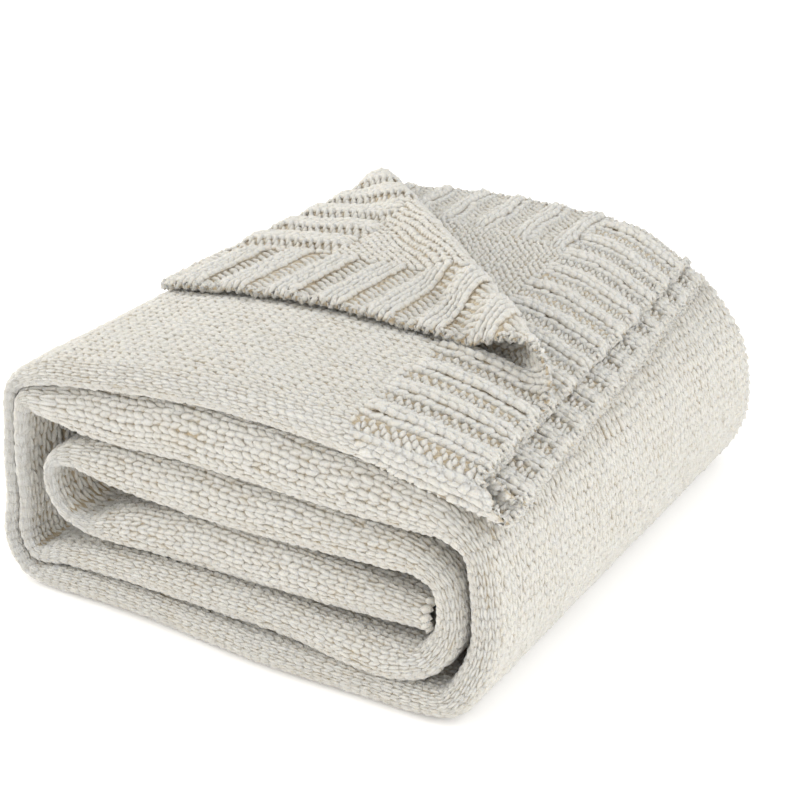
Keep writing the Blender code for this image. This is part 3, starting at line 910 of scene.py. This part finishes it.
def plain_cloth(material, rows, columns, open_out, open_in):
    """The cloth under the yarn, as one closed mesh on all its folds."""
    s, t = np.meshgrid(rows, columns, indexing="ij")
    outer_open, inner_open = read_lattice(open_out, s, t), read_lattice(open_in, s, t)
    outer = laid(s, t, BARE + (UNDER_YARN - BARE) * outer_open)[0].reshape(-1, 3)
    inner = laid(s, t, -BARE - (UNDER_YARN - BARE) * inner_open)[0].reshape(-1, 3)
    faces = grid_faces(len(rows), len(columns))
    around = rim(len(rows), len(columns))
    after = np.roll(around, -1)
    close = np.stack([around + len(outer), after + len(outer), after, around], axis=1)
    faces = np.concatenate([faces, faces[:, ::-1] + len(outer), close])
    # bare is 1 where no yarn lies on the cloth; where yarn covers it, the ground's material paints shade
    bare = 1.0 - np.concatenate([outer_open.ravel(), inner_open.ravel()])
    piece = make_piece("throw_cloth", np.concatenate([outer, inner]), faces, material, (("bare", bare),))
    layer = piece.data.uv_layers.new(name="flat")
    corner = faces.ravel() % s.size
    flat = np.stack([s.ravel()[corner], t.ravel()[corner]], axis=1)
    layer.data.foreach_set("uv", flat.astype(np.float32).ravel())
    return piece


def linear(color):
    """An 8-bit sRGB colour as linear RGBA."""
    parts = [part / 255.0 for part in color]
    parts = [part / 12.92 if part <= 0.04045 else ((part + 0.055) / 1.055) ** 2.4 for part in parts]
    return (*parts, 1.0)


def new_material(name):
    """A soft matte fabric material, with its node tree and shader."""
    material = bpy.data.materials.new(name)
    material.use_nodes = True
    tree = material.node_tree
    shader = tree.nodes["Principled BSDF"]
    shader.inputs["Roughness"].default_value = 0.95
    shader.inputs["Specular IOR Level"].default_value = 0.15
    shader.inputs["Subsurface Weight"].default_value = 0.3
    shader.inputs["Subsurface Radius"].default_value = (1.0, 0.8, 0.55)
    shader.inputs["Subsurface Scale"].default_value = 3 * MM
    shader.inputs["Sheen Weight"].default_value = 0.35
    shader.inputs["Sheen Roughness"].default_value = 0.55
    shader.inputs["Sheen Tint"].default_value = (1.0, 0.98, 0.94, 1.0)
    return material, tree, shader


def attribute(tree, name):
    """A value that the mesh carries at its points."""
    node = tree.nodes.new("ShaderNodeAttribute")
    node.attribute_name = name
    return node.outputs["Fac"]


def noise(tree, scale, detail):
    """Noise in metres: scale is in features a metre."""
    place = tree.nodes.new("ShaderNodeTexCoord")
    node = tree.nodes.new("ShaderNodeTexNoise")
    node.inputs["Scale"].default_value = scale
    node.inputs["Detail"].default_value = detail
    tree.links.new(place.outputs["Object"], node.inputs["Vector"])
    return node.outputs["Fac"]


def compute(tree, kind, *values):
    """A Math node over values, each a number or a socket."""
    node = tree.nodes.new("ShaderNodeMath")
    node.operation = kind
    for socket, value in zip(node.inputs, values):
        if isinstance(value, (int, float)):
            socket.default_value = value
        else:
            tree.links.new(value, socket)
    return node.outputs[0]


def ramp(tree, factor, stops):
    """A colour that follows a factor through stops of place and sRGB colour."""
    node = tree.nodes.new("ShaderNodeValToRGB")
    elements = node.color_ramp.elements
    while len(elements) < len(stops):
        elements.new(0.5)
    for element, (place, color) in zip(elements, stops):
        element.position = place
        element.color = linear(color)
    tree.links.new(factor, node.inputs["Fac"])
    return node.outputs["Color"]


def bump(tree, height, strength, distance, below=None):
    """A normal bent by a height, on top of another bump where one is given."""
    node = tree.nodes.new("ShaderNodeBump")
    node.inputs["Strength"].default_value = strength
    node.inputs["Distance"].default_value = distance
    tree.links.new(height, node.inputs["Height"])
    if below is not None:
        tree.links.new(below, node.inputs["Normal"])
    return node.outputs["Normal"]


def chenille():
    """The yarn: cream velvet pile with painted shade in the holes between strands, a little uneven in tone.
    """
    material, tree, shader = new_material("cream chenille")
    patchy = noise(tree, 22.0, 3.0)
    fleck = noise(tree, 1100.0, 2.0)
    # Painted shade by height, darker down between strands and in holes, plus the yarn's own random tone
    tone = compute(tree, "MULTIPLY_ADD", attribute(tree, "shade"), 0.16, attribute(tree, "height"))
    tone = compute(tree, "MULTIPLY_ADD", patchy, 0.22, tone)
    tone = compute(tree, "MULTIPLY_ADD", fleck, 0.55, tone)
    tone = compute(tree, "SUBTRACT", tone, 0.42)
    stops = ((0.0, PAINTED_HOLE_SHADE), (0.22, PAINTED_CREAM_SHADE), (0.58, CREAM), (1.0, CREAM_LIGHT))
    tree.links.new(ramp(tree, tone, stops), shader.inputs["Base Color"])
    coarse = bump(tree, noise(tree, 520.0, 2.0), 0.8, 1.2 * MM)
    tree.links.new(bump(tree, noise(tree, 1500.0, 3.0), 0.9, 0.8 * MM, coarse), shader.inputs["Normal"])
    return material


def plain_knit():
    """The cloth under the yarn: painted shade below it, and rows of stitches where it lies bare."""
    material, tree, shader = new_material("cream knit ground")
    flat = tree.nodes.new("ShaderNodeUVMap")
    flat.uv_map = "flat"
    parts = tree.nodes.new("ShaderNodeSeparateXYZ")
    tree.links.new(flat.outputs["UV"], parts.inputs[0])
    across = compute(tree, "FRACT", compute(tree, "DIVIDE", parts.outputs["Y"], WALE))
    from_spine = compute(tree, "ABSOLUTE", compute(tree, "SUBTRACT", across, 0.5))
    course = compute(tree, "DIVIDE", parts.outputs["X"], COURSE)
    along = compute(tree, "FRACT", compute(tree, "MULTIPLY_ADD", from_spine, -2.2, course))
    leg = compute(tree, "SINE", compute(tree, "MULTIPLY", along, math.pi))
    between = compute(tree, "SINE", compute(tree, "MULTIPLY", from_spine, math.tau))
    height = compute(tree, "MULTIPLY", leg, compute(tree, "POWER", compute(tree, "ABSOLUTE", between), 0.6))
    bare = attribute(tree, "bare")
    # Painted shade in the grooves between the bare stitches' legs, with the cloth's own random tone
    stitched = compute(tree, "MULTIPLY", height, 0.75)
    tone = compute(tree, "MULTIPLY_ADD", noise(tree, 300.0, 3.0), 0.35, stitched)
    # Painted shade where yarn covers the cloth: its tone drops to a little over half
    tone = compute(tree, "MULTIPLY", tone, compute(tree, "MULTIPLY_ADD", bare, 0.45, 0.55))
    stops = ((0.0, PAINTED_HOLE_SHADE), (0.35, PAINTED_CREAM_SHADE), (0.70, CREAM), (1.0, CREAM_LIGHT))
    tree.links.new(ramp(tree, tone, stops), shader.inputs["Base Color"])
    pile = bump(tree, noise(tree, 1500.0, 3.0), 0.4, 0.5 * MM)
    relief_height = compute(tree, "MULTIPLY", height, bare)
    tree.links.new(bump(tree, relief_height, 0.8, 1.6 * MM, pile), shader.inputs["Normal"])
    return material


def flat_material(name, color):
    """A plain matte material."""
    material = bpy.data.materials.new(name)
    material.use_nodes = True
    shader = material.node_tree.nodes["Principled BSDF"]
    shader.inputs["Base Color"].default_value = color
    shader.inputs["Roughness"].default_value = 0.9
    shader.inputs["Specular IOR Level"].default_value = 0.1
    return material


def floor():
    """A plain white floor that glows a little."""
    mesh = bpy.data.meshes.new("floor")
    half = FLOOR_HALF
    corners = [(-half, -half, 0), (half, -half, 0), (half, half, 0), (-half, half, 0)]
    mesh.from_pydata(corners, [], [(0, 1, 2, 3)])
    white = flat_material("white floor", FLOOR_WHITE)
    shader = white.node_tree.nodes["Principled BSDF"]
    shader.inputs["Emission Color"].default_value = (1.0, 1.0, 1.0, 1.0)
    shader.inputs["Emission Strength"].default_value = FLOOR_GLOW
    mesh.materials.append(white)
    piece = bpy.data.objects.new("floor", mesh)
    bpy.context.scene.collection.objects.link(piece)


def soft_light(given):
    """A large square light that looks at the stack."""
    data = bpy.data.lights.new(given.name, "AREA")
    data.shape = "SQUARE"
    data.size = given.size
    data.energy = given.power
    data.color = given.color
    light = bpy.data.objects.new(given.name, data)
    light.location = given.place
    aim = Vector(LIGHT_TARGET) - Vector(given.place)
    light.rotation_euler = aim.to_track_quat("-Z", "Y").to_euler()
    bpy.context.scene.collection.objects.link(light)


def studio():
    """Bright, even light from all around, and soft lights: a cool one from the upper right, and warm ones
    from the front right and from the left.
    """
    world = bpy.data.worlds.new("studio")
    world.use_nodes = True
    background = world.node_tree.nodes["Background"]
    background.inputs["Color"].default_value = SURROUND
    background.inputs["Strength"].default_value = SURROUND_STRENGTH
    bpy.context.scene.world = world
    bpy.context.scene.view_settings.view_transform = "Standard"
    for light in LIGHTS:
        soft_light(light)
    floor()


def camera():
    """The photograph's viewpoint."""
    data = bpy.data.cameras.new("photo")
    data.sensor_width = SENSOR
    data.lens = LENS
    view = bpy.data.objects.new("photo", data)
    view.location = CAMERA_AT
    view.rotation_euler = (math.pi / 2 - CAMERA_PITCH, 0.0, CAMERA_YAW)
    bpy.context.scene.collection.objects.link(view)
    bpy.context.scene.camera = view


def zones(stitches, side):
    """Names for the pieces of yarn, by the part of the cloth that each stitch is on."""
    s, t = stitches.s, stitches.t
    if side < 0:
        return [("purl_flap", t < LAYER), ("purl_inside", t >= LAYER)]
    first = t < OUTER_START
    nose = (t >= OUTER_START) & (t < BACK_START - BORDER)
    half = along_at(FIRST_SHARED, 1)
    return [
        ("knit_top", first & (s < along_at(LEFT_FOOT_ROW, 0))),
        ("knit_end", first & (s >= along_at(LEFT_FOOT_ROW, 0))),
        ("knit_front_outer", nose & (s < half)),
        ("knit_front_inner", nose & (s >= half)),
        ("knit_back_outer", (t >= BACK_START - BORDER) & (s < half)),
        ("knit_back_inner", (t >= BACK_START - BORDER) & (s >= half)),
    ]


def throw():
    """The whole throw: the plain cloth, the yarn on both its sides and the beads along its edges."""
    draw = np.random.default_rng(SEED)
    rows, columns = cloth_lines()
    s, t = np.meshgrid(rows, columns, indexing="ij")
    quads = grid_faces(len(rows), len(columns))
    tree = BVHTree.FromPolygons(fold(s, t).reshape(-1, 3).tolist(), quads.tolist())
    open_out, open_in = open_lattice(tree, 1.0), open_lattice(tree, -1.0)

    yarn = chenille()
    cloth = plain_cloth(plain_knit(), rows, columns, open_out, open_in)
    pieces = [edge_piece("edge_beads", yarn, draw)]
    stitches = all_stitches()
    for side, lattice in ((1.0, open_out), (-1.0, open_in)):
        seen = pick(stitches, read_lattice(lattice, stitches.s, stitches.t) > OPEN_ENOUGH)
        for name, inside in zones(seen, side):
            chosen = pick(seen, inside)
            if len(chosen.s):
                pieces.append(yarn_piece(name, chosen, side, yarn, draw))
    for piece in [cloth] + pieces:
        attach(piece, "root")
    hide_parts("blanket")


def main():
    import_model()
    throw()
    camera()
    studio()


main()
